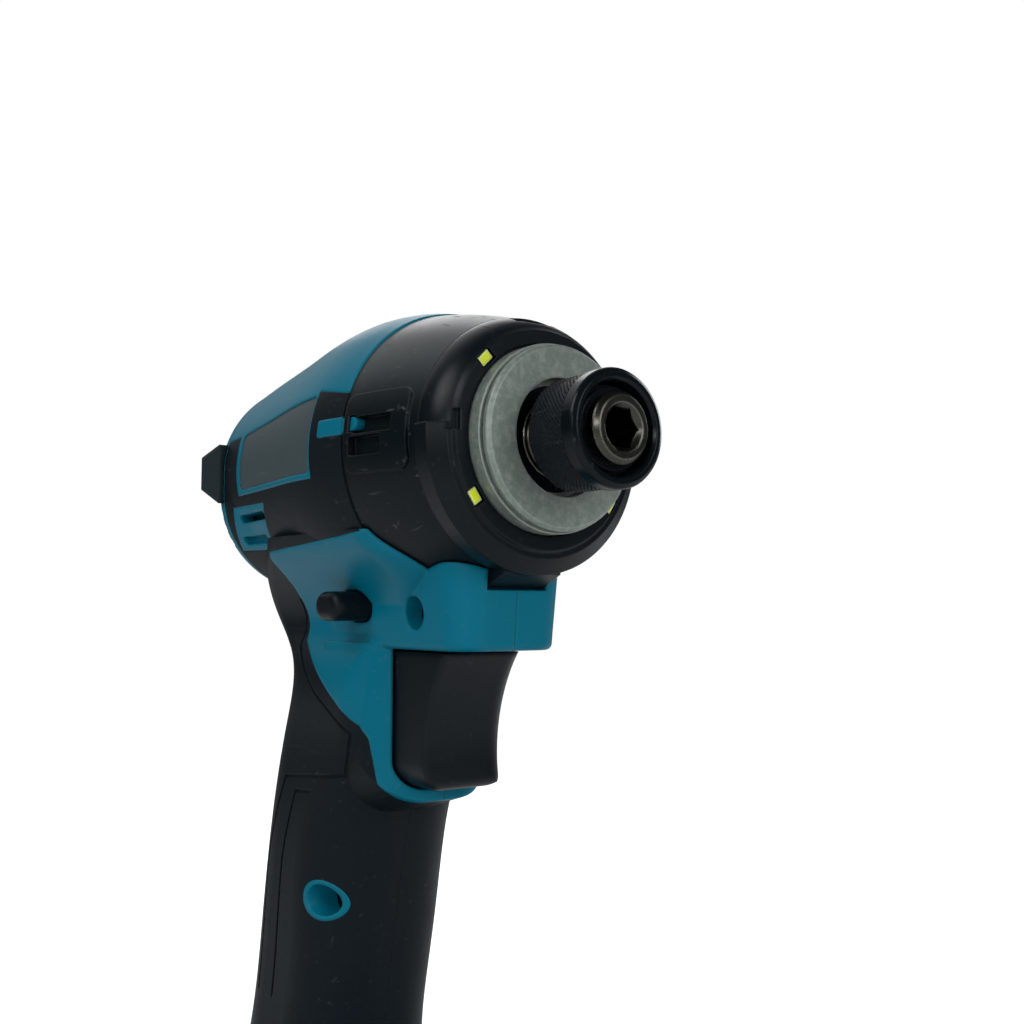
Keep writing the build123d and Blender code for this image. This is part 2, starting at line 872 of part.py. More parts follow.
with BuildPart() as lamp_board:
    add(tube(board_x, board_x + 1.2, nose_r + 0.7, board_r))
    add(case_room.part, mode=Mode.SUBTRACT)

with BuildPart() as lamps:
    with BuildSketch(across(board_x + 1.25)):
        for angle in window_angles:
            with PolarLocations(window_r, 1, start_angle=angle):
                Rectangle(lamp_wide, lamp_tall)
    extrude(amount=0.9)

# Anvil: hex socket at the front, journal in the bush, two wings at the back for the hammer to strike
sleeve_front = tip_x - sleeve_back
sleeve_rear = sleeve_front - sleeve_length
land_x = sleeve_rear + 0.6
land_length = 2.0
ball_x = land_x + land_length / 2
clip_x = tip_x - clip_back
groove_r = anvil_r - 0.8
with BuildPart() as anvil:
    add(
        turned(
            [
                (tip_x, 0),
                (tip_x, anvil_r - 0.8),
                (tip_x - 0.8, anvil_r),
                (clip_x, anvil_r),
                (clip_x, groove_r),
                (clip_x - clip_width - 2 * seat_gap, groove_r),
                (clip_x - clip_width - 2 * seat_gap, anvil_r),
                (nose_x - 2.2, anvil_r),
                (nose_x - 2.2, journal_r),
                (wing_x + wing_length, journal_r),
                (wing_x + wing_length, journal_r + 2.4),
                (wing_x, journal_r + 2.4),
                (wing_x, 0),
            ]
        )
    )
    with BuildSketch(across(wing_x)):
        Rectangle(2 * wing_reach, wing_width)
    extrude(amount=wing_length)
    with BuildSketch(across(tip_x - hex_depth)):
        RegularPolygon(radius=hex_flats / 2, side_count=6, major_radius=False)
    extrude(amount=hex_depth, mode=Mode.SUBTRACT)
    add(
        turned([(tip_x - 1.1, 0), (tip_x - 1.1, 3.0), (tip_x, 4.1), (tip_x, 0)]),
        mode=Mode.SUBTRACT,
    )
    add(tube(wing_x - 1, wing_x + 5.4, 0.0, pilot_r + run_gap), mode=Mode.SUBTRACT)
    with Locations((ball_x, 0, axis_z)):
        Cylinder(ball_r + seat_gap, 2 * anvil_r + 2, rotation=(90, 0, 0), mode=Mode.SUBTRACT)

with BuildPart() as detent_balls:
    with Locations((ball_x, 4.25, axis_z), (ball_x, -4.25, axis_z)):
        Sphere(ball_r)

with BuildPart() as sleeve_clip:
    add(tube(clip_x - clip_width - seat_gap, clip_x - seat_gap, groove_r + seat_gap, anvil_r + 0.9))

washer_front = clip_x - clip_width - 2 * seat_gap
with BuildPart() as sleeve_washer:
    add(tube(washer_front - 1.0, washer_front, anvil_r + seat_gap, anvil_r + 1.45))

sleeve_bore = anvil_r + 1.8
with BuildPart() as bit_sleeve:
    add(
        turned(
            [
                (sleeve_rear, sleeve_bore),
                (sleeve_rear, sleeve_r - 0.9),
                (sleeve_rear + 0.5, sleeve_r - 0.4),
                (sleeve_front - 3.4, sleeve_r - 0.3),
                (sleeve_front - 2.9, sleeve_r),
                (sleeve_front - 0.8, sleeve_r),
                (sleeve_front, sleeve_r - 0.8),
                (sleeve_front, sleeve_bore + 0.5),
                (sleeve_front - 0.5, sleeve_bore),
                (land_x + land_length, sleeve_bore),
                (land_x + land_length, anvil_r + run_gap),
                (land_x, anvil_r + run_gap),
                (land_x, sleeve_bore),
            ]
        )
    )

with BuildPart() as sleeve_spring:
    add(coil_spring(land_x + land_length + 0.05, washer_front - 1.05, anvil_r + 0.85, 0.7, 3))

# Hammer, riding on the spindle, with two lugs that meet the anvil's wings
hammer_front = wing_x - 0.4
hammer_back = hammer_front - hammer_length
pocket_front = hammer_back + 10.5
pocket_in = hammer_spring_r - hammer_wire / 2 - 0.4
pocket_out = hammer_spring_r + hammer_wire / 2 + 0.4
cam_x = hammer_back + 5.0
recoil = 5.0
with BuildPart() as hammer:
    add(
        turned(
            [
                (hammer_back, spindle_r + run_gap),
                (hammer_front, spindle_r + run_gap),
                (hammer_front, hammer_r - 1.0),
                (hammer_front - 1.0, hammer_r),
                (hammer_back, hammer_r),
                (hammer_back, pocket_out),
                (pocket_front, pocket_out),
                (pocket_front, pocket_in),
                (hammer_back, pocket_in),
            ]
        )
    )
    with BuildSketch(across(hammer_front)):
        with Locations((0, wing_reach - lug_height / 2), (0, lug_height / 2 - wing_reach)):
            Rectangle(lug_width, lug_height)
    extrude(amount=wing_length)
    with BuildSketch(across(cam_x - cam_ball_r - fit_gap)):
        with Locations((0, spindle_r), (0, -spindle_r)):
            Circle(cam_ball_r + fit_gap)
    extrude(amount=recoil + 2 * cam_ball_r + 2 * fit_gap, mode=Mode.SUBTRACT)

with BuildPart() as cam_balls:
    with Locations((cam_x, 0, axis_z + spindle_r), (cam_x, 0, axis_z - spindle_r)):
        Sphere(cam_ball_r)

# Spindle: hammer shaft in front, planet carrier behind
flange_x = seat_x + 1.8
with BuildPart() as hammer_spring:
    add(coil_spring(flange_x + 0.05, pocket_front - 0.05, hammer_spring_r, hammer_wire, 5))

gear_front = flange_x - flange_thick - fit_gap
gear_back = gear_front - gear_width
back_flange = gear_back - fit_gap
collar_x = back_flange - 2.4
carrier_r = 9.0
collar_back = collar_x - 3.8
centre_gap = gear_module * (sun_teeth + planet_teeth) / 2
addendum = 0.85 * gear_module
dedendum = 1.15 * gear_module
planet_tip = gear_module * planet_teeth / 2 + addendum
sun_tip = gear_module * sun_teeth / 2 + addendum
with BuildPart() as spindle:
    add(
        turned(
            [
                (wing_x + 5.0, 0),
                (wing_x + 5.0, pilot_r),
                (hammer_front + 0.2, pilot_r),
                (hammer_front + 0.2, spindle_r),
                (flange_x, spindle_r),
                (flange_x, flange_r),
                (flange_x - flange_thick, flange_r),
                (flange_x - flange_thick, flange_r - 1.2),
                (back_flange, flange_r - 1.2),
                (back_flange, flange_r),
                (collar_x, flange_r),
                (collar_x, carrier_r),
                (collar_back, carrier_r),
                (collar_back, sun_tip + 1.0),
                (flange_x - flange_thick, sun_tip + 1.0),
                (flange_x - flange_thick, 0),
            ]
        )
    )
    with BuildSketch(across(back_flange)):
        with Locations((centre_gap, 0), (-centre_gap, 0)):
            Circle(planet_tip + slide_gap)
    extrude(amount=gear_width + 2 * fit_gap, mode=Mode.SUBTRACT)
    with BuildSketch(across(collar_x)):
        with Locations((centre_gap, 0), (-centre_gap, 0)):
            Circle(pin_r + seat_gap)
    extrude(amount=flange_x - collar_x, mode=Mode.SUBTRACT)
    with Locations((cam_x, 0, axis_z + spindle_r), (cam_x, 0, axis_z - spindle_r)):
        Sphere(cam_ball_r + seat_gap, mode=Mode.SUBTRACT)

with BuildPart() as planet_pins:
    with BuildSketch(across(collar_x + 0.2)):
        with Locations((centre_gap, 0), (-centre_gap, 0)):
            Circle(pin_r)
    extrude(amount=flange_x - collar_x - 0.4)

planet_flank = tooth_flank(planet_teeth, addendum, dedendum, backlash / 2)
half_pitch = math.pi / planet_teeth
with BuildPart() as planet_left:
    with BuildSketch(across(gear_back)):
        with Locations((centre_gap, 0)):
            Polygon(*gear_points(planet_teeth, planet_flank, half_pitch), align=None)
            Circle(pin_r + run_gap, mode=Mode.SUBTRACT)
    extrude(amount=gear_width)

with BuildPart() as planet_right:
    with BuildSketch(across(gear_back)):
        with Locations((-centre_gap, 0)):
            Polygon(*gear_points(planet_teeth, planet_flank, half_pitch), align=None)
            Circle(pin_r + run_gap, mode=Mode.SUBTRACT)
    extrude(amount=gear_width)

# The gaps of the ring gear have the form of a gear's teeth
ring_flank = tooth_flank(ring_teeth, dedendum, addendum, -backlash / 2)
with BuildPart() as ring_gear:
    add(tube(case_back + 1.0, seat_x - 0.1, 0.1, gear_seat_r))
    with BuildSketch(across(case_back)):
        Polygon(*gear_points(ring_teeth, ring_flank, math.pi / ring_teeth), align=None)
    extrude(amount=20, mode=Mode.SUBTRACT)

# Plate between gears and motor, with the bearings of spindle and rotor
plate_front = case_back + 0.9
with BuildPart() as gear_plate:
    add(
        turned(
            [
                (plate_front, flange_r + 0.6),
                (plate_front, gear_seat_r),
                (case_back - 0.1, gear_seat_r),
                (case_back - 0.1, case_r),
                (plate_x + 0.1, case_r),
                (plate_x + 0.1, motor_bearing_r + seat_gap),
                (collar_back - 0.5, motor_bearing_r + seat_gap),
                (collar_back - 0.5, bearing_r + seat_gap),
                (collar_x - 0.3, bearing_r + seat_gap),
                (collar_x - 0.3, flange_r + 0.6),
            ]
        )
    )

with BuildPart() as spindle_bearing:
    add(tube(collar_back - 0.3, collar_x - 0.4, carrier_r + run_gap, bearing_r))

with BuildPart() as front_bearing:
    add(tube(plate_x + 0.1, collar_back - 0.7, shaft_r + run_gap, motor_bearing_r))

# Motor
with BuildPart() as stator:
    with BuildSketch(across(fan_x)):
        Circle(stator_r)
        Circle(stator_r - 3.0, mode=Mode.SUBTRACT)
        with PolarLocations(coil_mid_r, coil_count):
            Rectangle(tooth_length, tooth_width)
    extrude(amount=motor_length)

with BuildPart() as stator_coils:
    with BuildSketch(across(fan_x - coil_over)):
        with PolarLocations(coil_mid_r, coil_count):
            Rectangle(tooth_length - 2.4, tooth_width + 3.2)
    extrude(amount=motor_length + 2 * coil_over)
    with BuildSketch(across(fan_x - seat_gap)):
        with PolarLocations(coil_mid_r, coil_count):
            Rectangle(tooth_length + 0.2, tooth_width + 2 * seat_gap)
    extrude(amount=motor_length + 2 * seat_gap, mode=Mode.SUBTRACT)

bearing_back = rear_x + 4.4
sun_flank = tooth_flank(sun_teeth, addendum, dedendum, backlash / 2)
with BuildPart() as rotor_shaft:
    add(tube(bearing_back, gear_back - 0.3, 0.0, shaft_r))
    with BuildSketch(across(gear_back - 0.3)):
        Polygon(*gear_points(sun_teeth, sun_flank, 0.0), align=None)
    extrude(amount=gear_width + 0.3)

with BuildPart() as rotor:
    add(tube(fan_x + 1.0, motor_x - 1.0, shaft_r + seat_gap, rotor_r))

with BuildPart() as fan:
    add(tube(fan_x - 5.0, fan_x - 1.8, shaft_r + seat_gap, 5.5))
    add(tube(fan_x - 3.4, fan_x - 2.4, 5.0, tail_r - wall - 2.2))
    with BuildSketch(across(fan_x - 5.2)):
        with PolarLocations(10.5, fan_blades):
            Rectangle(12.0, 1.1)
    extrude(amount=2.0)

with BuildPart() as rear_bearing:
    add(tube(bearing_back, bearing_back + 3.4, shaft_r + run_gap, motor_bearing_r - 0.5))

# Rear cover and the bumper that stands proud of it
with BuildPart() as rear_cover:
    add(rear_cap(0.0))
    add(
        turned(
            [
                (tail_x, 0),
                (tail_x, tail_r - wall),
                (tail_x - 4.0, tail_r - wall - 1.6),
                (tail_x - 7.4, tail_r - 10.0),
                (tail_x - 7.4, motor_bearing_r + 1.8),
                (bearing_back + 3.6, motor_bearing_r + 1.8),
                (bearing_back + 3.6, motor_bearing_r - 0.5 + seat_gap),
                (bearing_back - 0.1, motor_bearing_r - 0.5 + seat_gap),
                (bearing_back - 0.1, 0),
            ]
        ),
        mode=Mode.SUBTRACT,
    )
    for drop in (8.5, 11.5, 14.5):
        with Locations((tail_x - 3.4, 0, axis_z - drop)):
            Box(3.6, 2 * tail_r, 1.5, mode=Mode.SUBTRACT)

with BuildPart() as rear_bumper:
    with BuildSketch(head_plane):
        with BuildLine():
            Polyline(
                (tail_x - 0.2, 6.4),
                (rear_x, 3.9),
                (rear_x, -1.8),
                (tail_x - 0.2, -6.4),
                close=True,
            )
        make_face()
    extrude(amount=bumper_half, both=True)
    with BuildSketch(Plane.XY.offset(axis_z)):
        with Locations((rear_x + bumper_half, 0)):
            RectangleRounded(2 * bumper_half, 2 * bumper_half, 3.0)
    extrude(amount=10, both=True, mode=Mode.INTERSECT)
    add(rear_cap(seat_gap), mode=Mode.SUBTRACT)

# Trigger and switch
trigger_top = block_drop + slide_gap
with BuildPart() as trigger:
    with BuildSketch(head_plane):
        with BuildLine():
            Polyline(
                (hand_x + 15.6, -trigger_drop),
                (hand_x + 3.5, -trigger_drop),
                (hand_x + 3.5, -trigger_top),
                (hand_x + 21.8, -trigger_top),
            )
            Spline(
                (hand_x + 21.8, -trigger_top),
                (hand_x + 16.7, 16.6 - trigger_drop),
                (hand_x + 14.8, 7.5 - trigger_drop),
                (hand_x + 15.6, -trigger_drop),
            )
        make_face()
    extrude(amount=trigger_half, both=True)
    front = trigger.faces().sort_by(Axis.X)[-1]
    fillet([front.edges().sort_by(Axis.Y)[0], front.edges().sort_by(Axis.Y)[-1]], 4.5)
    with BuildSketch(head_plane) as toe:
        with Locations((hand_x + 15.6, -trigger_drop)):
            Rectangle(20.0, 10.0, align=(Align.MAX, Align.MIN))
        fillet(toe.vertices().group_by(Axis.Y)[0].sort_by(Axis.X)[-1], 3.0)
        with Locations((hand_x + 15.6, 6.0 - trigger_drop)):
            Rectangle(40.0, 30.0, align=(Align.CENTER, Align.MIN))
    extrude(amount=trigger_half, both=True, mode=Mode.INTERSECT)
    with BuildSketch(across(hand_x)) as jaw:
        with Locations((0, -trigger_drop)):
            Rectangle(2 * trigger_half, 30.0, align=(Align.CENTER, Align.MIN))
        fillet(jaw.vertices().group_by(Axis.Y)[0], trigger_round)
    extrude(amount=40.0, both=True, mode=Mode.INTERSECT)
    with Locations((hand_x - 3.0, 0, axis_z - stem_drop)):
        Cylinder(stem_r, 14.0, rotation=(0, 90, 0))

with BuildPart() as switch_unit:
    with Locations((switch_x, 0, switch_z)):
        Box(switch_length, switch_width, switch_height, align=(Align.CENTER, Align.CENTER, Align.MAX))
    with Locations((hand_x - 13.0, 0, axis_z - stem_drop)):
        Cylinder(stem_r + slide_gap, 16.0, rotation=(0, 90, 0), mode=Mode.SUBTRACT)

# Foot: control board, terminal block, leads up to the motor, and nuts for a belt hook
with BuildPart() as controller:
    with Locations((control_x, 0, control_low)):
        Box(control_length, control_width, 6.0, align=(Align.CENTER, Align.CENTER, Align.MIN))

blade_ys = (-12.0, 0.0, 12.0)
terminal_x = channel_x + 0.6
with BuildPart() as terminal_block:
    with Locations((terminal_x + 13.0, 0, ceiling - 1.3)):
        Box(26.0, 44.0, 2.4)
    for y in blade_ys:
        with Locations((terminal_x + 12.0, y, ceiling - 4.5)):
            Box(16.0, 1.0, 4.4)

lead_r = 0.8
with BuildPart() as leads:
    for y in (-4.0, 0.0, 4.0):
        with BuildLine(Plane(origin=(0, y, axis_z), x_dir=(1, 0, 0), z_dir=(0, -1, 0))):
            route = FilletPolyline(
                (hand_x - 43.0, -handle_drop - 7.1),
                (hand_x - 43.0, -112.0),
                (hand_x - 28.5, -58.0),
                (hand_x - 28.5, -36.0),
                (hand_x - 33.0, -stator_r - 0.4),
                radius=5.0,
            )
        with BuildSketch(Plane(origin=route @ 0, z_dir=route % 0)):
            Circle(lead_r)
        sweep(path=route)

with BuildPart() as hook_nuts:
    for side in (-1, 1):
        with Locations((nut_x, side * (foot_half - nut_length / 2), nut_z)):
            Cylinder(nut_r, nut_length, rotation=(90, 0, 0))
            Cylinder(nut_hole_r, nut_length, rotation=(90, 0, 0), mode=Mode.SUBTRACT)

# Battery pack
pack_wall = 2.6
post_x = pack_length / 2 - 5.8
post_y = 22.0
post_r = 3.1
pack_screw_r = 1.2
pack_head_r = 2.3
latch_length = 4.0
latch_width = 12.0
rail_front = hand_x + 10.0
rail_back = terminal_x
cell_pitch = 2 * cell_r + cell_gap
row_count = int(2 * (post_x - post_r) / cell_pitch)
cell_length = pack_width - 2 * (pack_wall + cell_end)
button_front = pack_length / 2 - 0.8
latch_x = hand_x + 16.0
arm_back = latch_x - latch_length / 2
arm_front = button_front - 3.2
button_low = pack_split + 4.8
button_high = battery_height - 6.4


def posts(radius, low, high):
    """Four screw posts of the pack."""
    with BuildPart() as body:
        with BuildSketch(Plane.XY.offset(low)):
            with GridLocations(2 * post_x, 2 * post_y, 2, 2):
                Circle(radius)
        extrude(amount=high - low)
    return body.part


with BuildPart() as battery_lower:
    with BuildSketch(Plane.XY):
        RectangleRounded(pack_length, pack_width, pack_corner)
    extrude(amount=pack_split - 0.1)
    fillet(battery_lower.faces().sort_by(Axis.Z)[0].edges(), 2.5)
    with BuildSketch(Plane.XY.offset(pack_wall)):
        RectangleRounded(pack_length - 2 * pack_wall, pack_width - 2 * pack_wall, pack_corner - pack_wall)
    extrude(amount=pack_split, mode=Mode.SUBTRACT)
    add(posts(post_r, pack_wall - 0.5, pack_split - 0.1))
    add(posts(pack_screw_r + seat_gap, 0, pack_split), mode=Mode.SUBTRACT)
    add(posts(pack_head_r + seat_gap, 0, 4.0), mode=Mode.SUBTRACT)

with BuildPart() as battery_upper:
    with BuildSketch(Plane.XY.offset(pack_split + 0.1)):
        RectangleRounded(pack_length, pack_width, pack_corner)
    extrude(amount=battery_height - pack_split - 0.4)
    fillet(battery_upper.faces().sort_by(Axis.Z)[-1].edges(), 4.0)
    with BuildSketch(Plane.XY.offset(pack_split)):
        RectangleRounded(pack_length - 2 * pack_wall, pack_width - 2 * pack_wall, pack_corner - pack_wall)
    extrude(amount=battery_height - pack_split - pack_wall, mode=Mode.SUBTRACT)
    add(posts(post_r, pack_split + 0.1, battery_height - pack_wall + 0.5))
    add(posts(pack_screw_r + seat_gap, pack_split, pack_split + 16), mode=Mode.SUBTRACT)
    with Locations(((rail_front + rail_back) / 2, 0, (foot_z - 1 + rail_low) / 2 + 0.25)):
        Box(rail_front - rail_back, neck_width, rail_low - foot_z + 1.5)
    with Locations(((rail_front + rail_back) / 2, 0, (rail_low + rail_top) / 2)):
        Box(rail_front - rail_back, rail_width, rail_thick)
    for y in blade_ys:
        with Locations((rail_back + 10.0, y, rail_top)):
            Box(24.0, 2.0, 2 * (rail_top - foot_z - 2.15), mode=Mode.SUBTRACT)
    with Locations((button_front - 2.0, 0, (button_low - button_travel + button_high) / 2)):
        Box(8.0, button_width + 1.0, button_high - button_low + button_travel + 1.0, mode=Mode.SUBTRACT)
    with Locations((latch_x, 0, battery_height)):
        Box(latch_length + 4 * fit_gap, latch_width + 4 * fit_gap, 10.0, mode=Mode.SUBTRACT)

with BuildPart() as battery_contacts:
    for y in blade_ys:
        with Locations((rail_back + 12.0, y, foot_z + 3.6)):
            Box(16.0, 1.6, 2.8)

with BuildPart() as battery_cells:
    for level in (pack_wall + cell_r + 0.1, pack_wall + 3 * cell_r + 0.4):
        with Locations((0, 0, level)):
            with GridLocations(cell_pitch, 1, row_count, 1):
                Cylinder(cell_r, cell_length, rotation=(90, 0, 0))

with BuildPart() as battery_screws:
    add(posts(pack_screw_r, 2.0, pack_split + 14))
    add(posts(pack_head_r, 1.6, 3.9))

with BuildPart() as battery_button:
    with Locations((button_front - 3.0, 0, (button_low + button_high) / 2)):
        Box(6.0, button_width, button_high - button_low)
    fillet(battery_button.faces().sort_by(Axis.X)[-1].edges(), 1.5)
    with Locations(((arm_back + arm_front) / 2, 0, button_high - 1.2)):
        Box(arm_front - arm_back, latch_width, 2.4)
    with Locations((latch_x, 0, battery_height - 1.2)):
        Box(latch_length, latch_width, 10.4)

pieces = {
    "anvil": anvil,
    "bit_sleeve": bit_sleeve,
    "sleeve_clip": sleeve_clip,
    "sleeve_washer": sleeve_washer,
    "sleeve_spring": sleeve_spring,
    "detent_balls": detent_balls,
    "hammer_case": hammer_case,
    "anvil_bush": anvil_bush,
    "case_cover": case_cover,
    "lamp_ring": lamp_ring,
    "lamp_board": lamp_board,
    "lamps": lamps,
    "hammer": hammer,
    "cam_balls": cam_balls,
    "hammer_spring": hammer_spring,
    "spindle": spindle,
    "planet_pins": planet_pins,
    "planet_left": planet_left,
    "planet_right": planet_right,
    "ring_gear": ring_gear,
    "gear_plate": gear_plate,
    "spindle_bearing": spindle_bearing,
    "front_bearing": front_bearing,
    "stator": stator,
    "stator_coils": stator_coils,
    "rotor": rotor,
    "rotor_shaft": rotor_shaft,
    "fan": fan,
    "rear_bearing": rear_bearing,
    "rear_cover": rear_cover,
    "rear_bumper": rear_bumper,
    "housing_right": housing_right,
    "housing_left": housing_left,
    "soft_grip_right": soft_grip_right,
    "soft_grip_left": soft_grip_left,
    "data_plate": data_plate,
    "housing_screws": housing_screws,
    "trigger": trigger,
    "switch_unit": switch_unit,
    "lever": lever,
    "controller": controller,
    "terminal_block": terminal_block,
    "leads": leads,
    "hook_nuts": hook_nuts,
    "battery_lower": battery_lower,
    "battery_upper": battery_upper,
    "battery_contacts": battery_contacts,
    "battery_cells": battery_cells,
    "battery_screws": battery_screws,
    "battery_button": battery_button,
}
for name, body in pieces.items():
    body.part.label = name
    export_step(body.part, "parts/" + name + ".step")
    print(name, len(body.solids()), round(body.part.volume))
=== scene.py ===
import json
import math

import bpy
import numpy as np
from mathutils import Matrix, Vector


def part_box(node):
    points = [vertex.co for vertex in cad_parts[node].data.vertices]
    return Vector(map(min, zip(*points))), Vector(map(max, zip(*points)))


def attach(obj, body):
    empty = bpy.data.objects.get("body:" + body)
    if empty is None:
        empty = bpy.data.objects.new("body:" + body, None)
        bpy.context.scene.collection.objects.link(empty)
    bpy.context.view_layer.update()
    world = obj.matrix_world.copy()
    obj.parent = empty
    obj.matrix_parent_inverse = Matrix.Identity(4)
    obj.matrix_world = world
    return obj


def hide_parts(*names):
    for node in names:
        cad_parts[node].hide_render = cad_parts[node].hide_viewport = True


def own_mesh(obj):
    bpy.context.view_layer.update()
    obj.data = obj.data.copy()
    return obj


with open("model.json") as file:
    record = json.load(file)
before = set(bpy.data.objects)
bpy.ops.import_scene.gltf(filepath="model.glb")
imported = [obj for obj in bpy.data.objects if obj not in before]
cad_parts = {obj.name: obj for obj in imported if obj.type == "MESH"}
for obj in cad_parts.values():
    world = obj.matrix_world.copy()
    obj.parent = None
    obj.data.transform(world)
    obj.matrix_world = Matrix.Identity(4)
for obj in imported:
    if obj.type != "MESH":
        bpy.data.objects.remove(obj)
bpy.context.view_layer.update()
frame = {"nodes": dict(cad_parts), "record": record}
mm = 0.001
nodes = frame["nodes"]
anvilLow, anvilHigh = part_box("anvil")
axisZ = (anvilLow.z + anvilHigh.z) / 2  # height of the drive axis
print("frame loaded:", len(nodes), "nodes, drive axis at", round(axisZ / mm, 1), "mm")


# colours are written as they look, 0 to 255
def paint(red, green, blue):
    shares = np.array((red, green, blue)) / 255
    linear = np.where(shares <= 0.04045, shares / 12.92, ((shares + 0.055) / 1.055) ** 2.4)
    return (*linear, 1.0)


def putIn(name, data):
    thing = bpy.data.objects.new(name, data)
    bpy.context.scene.collection.objects.link(thing)
    return thing


# NODE HELPERS
def addNode(tree, kind, **settings):
    node = tree.nodes.new(kind)
    for key, value in settings.items():
        if key in node.inputs:
            node.inputs[key].default_value = value
        else:
            setattr(node, key, value)
    return node


def calc(tree, operation, first, second=None, clamp=False):
    node = addNode(tree, "ShaderNodeMath", operation=operation, use_clamp=clamp)
    for socket, value in zip(node.inputs, (first, second)):
        if isinstance(value, (int, float)):
            socket.default_value = value
        elif value is not None:
            tree.links.new(value, socket)
    return node.outputs[0]


# how far a value stands above a level, times a gain, 0 to 1
def above(tree, value, level, gain):
    return calc(tree, "MULTIPLY", calc(tree, "SUBTRACT", value, level, True), gain, True)


# scale in waves to a metre
def noise(tree, vector, scale, detail, rough):
    node = addNode(tree, "ShaderNodeTexNoise", Detail=detail, Roughness=rough)
    tree.links.new(vector, node.inputs["Vector"])
    if isinstance(scale, (int, float)):
        node.inputs["Scale"].default_value = scale
    else:
        tree.links.new(scale, node.inputs["Scale"])
    return node.outputs["Fac"]


# one range carried over to another, smoothly at both ends where asked
def spread(tree, value, made, given=(0.0, 1.0), smooth=False):
    node = addNode(tree, "ShaderNodeMapRange", interpolation_type="SMOOTHSTEP" if smooth else "LINEAR")
    node.inputs["From Min"].default_value, node.inputs["From Max"].default_value = given
    node.inputs["To Min"].default_value, node.inputs["To Max"].default_value = made
    tree.links.new(value, node.inputs["Value"])
    return node.outputs["Result"]


def mixColour(tree, factor, first, second):
    node = addNode(tree, "ShaderNodeMix", data_type="RGBA")
    tree.links.new(factor, node.inputs["Factor"])
    for label, value in (("A", first), ("B", second)):
        socket = [s for s in node.inputs if s.name == label and s.type == "RGBA"][0]
        if isinstance(value, tuple):
            socket.default_value = value
        else:
            tree.links.new(value, socket)
    return [s for s in node.outputs if s.type == "RGBA"][0]


# SHADER GROUPS
grainSet = {
    "fine": (3.0, 0.6),  # octaves and roughness of the noise
    "swell": (45.0, 2.0, 0.5),  # the same after its scale
}
handlingSet = {
    "patch": (90.0, 4.0, 0.6),
    "smudge": (0.42, 2.2),  # level that the noise has to pass, and gain
    "scratchTurn": (0.5, 0.3, 0.8),
    "scratchScale": (40.0, 900.0, 900.0),  # long one way, thin the other two
    "scratchNoise": (1.0, 1.0, 0.5),
    "scratch": (0.7, 5.0),
    "speckNoise": (620.0, 1.0, 0.4),
    "speck": (0.7, 9.0),
    "upward": (0.1, 0.75),  # upright share of the normal, from no painted sheen to full painted sheen
}
edgeSet = {
    "samples": 6,
    "gain": 5.0,
}


def newGroup(name, inputs, outputs):
    tree = bpy.data.node_groups.new(name, "ShaderNodeTree")
    for label, kind, value in inputs:
        socket = tree.interface.new_socket(label, in_out="INPUT", socket_type=kind)
        if value is not None:
            socket.default_value = value
    for label, kind in outputs:
        tree.interface.new_socket(label, in_out="OUTPUT", socket_type=kind)
    return tree, tree.nodes.new("NodeGroupInput"), tree.nodes.new("NodeGroupOutput")


# spark-eroded mould texture: fine pits plus a slow swell, both 0 to 1
def makeMouldGrain(given):
    tree, taken, out = newGroup(
        "mouldGrain",
        [("Vector", "NodeSocketVector", None), ("Scale", "NodeSocketFloat", 2500.0)],
        [("Height", "NodeSocketFloat"), ("Swell", "NodeSocketFloat")],
    )
    fine = noise(tree, taken.outputs["Vector"], taken.outputs["Scale"], *given["fine"])
    slow = noise(tree, taken.outputs["Vector"], *given["swell"])
    tree.links.new(fine, out.inputs["Height"])
    tree.links.new(slow, out.inputs["Swell"])
    return tree


# masks of handling, 0 to 1: broken smudges, thin scratches, dust specks in the smudges, and a painted sheen,
# paler where the surface faces up
def makeHandling(given):
    tree, taken, out = newGroup(
        "handling",
        [("Vector", "NodeSocketVector", None), ("Amount", "NodeSocketFloat", 0.5)],
        [(label, "NodeSocketFloat") for label in ("Smudge", "Scratch", "Dust", "PaintedSheen")],
    )
    vector, amount = taken.outputs["Vector"], taken.outputs["Amount"]
    smudge = above(tree, noise(tree, vector, *given["patch"]), *given["smudge"])
    turn = addNode(tree, "ShaderNodeMapping", Rotation=given["scratchTurn"], Scale=given["scratchScale"])
    tree.links.new(vector, turn.inputs["Vector"])
    scratch = above(tree, noise(tree, turn.outputs["Vector"], *given["scratchNoise"]), *given["scratch"])
    specks = above(tree, noise(tree, vector, *given["speckNoise"]), *given["speck"])
    facing = tree.nodes.new("ShaderNodeSeparateXYZ")
    tree.links.new(tree.nodes.new("ShaderNodeNewGeometry").outputs["Normal"], facing.inputs[0])
    haze = spread(tree, facing.outputs["Z"], (0.0, 1.0), given["upward"], smooth=True)
    tree.links.new(calc(tree, "MULTIPLY", smudge, amount), out.inputs["Smudge"])
    tree.links.new(calc(tree, "MULTIPLY", scratch, amount), out.inputs["Scratch"])
    tree.links.new(calc(tree, "MULTIPLY", specks, smudge), out.inputs["Dust"])
    tree.links.new(haze, out.inputs["PaintedSheen"])
    return tree
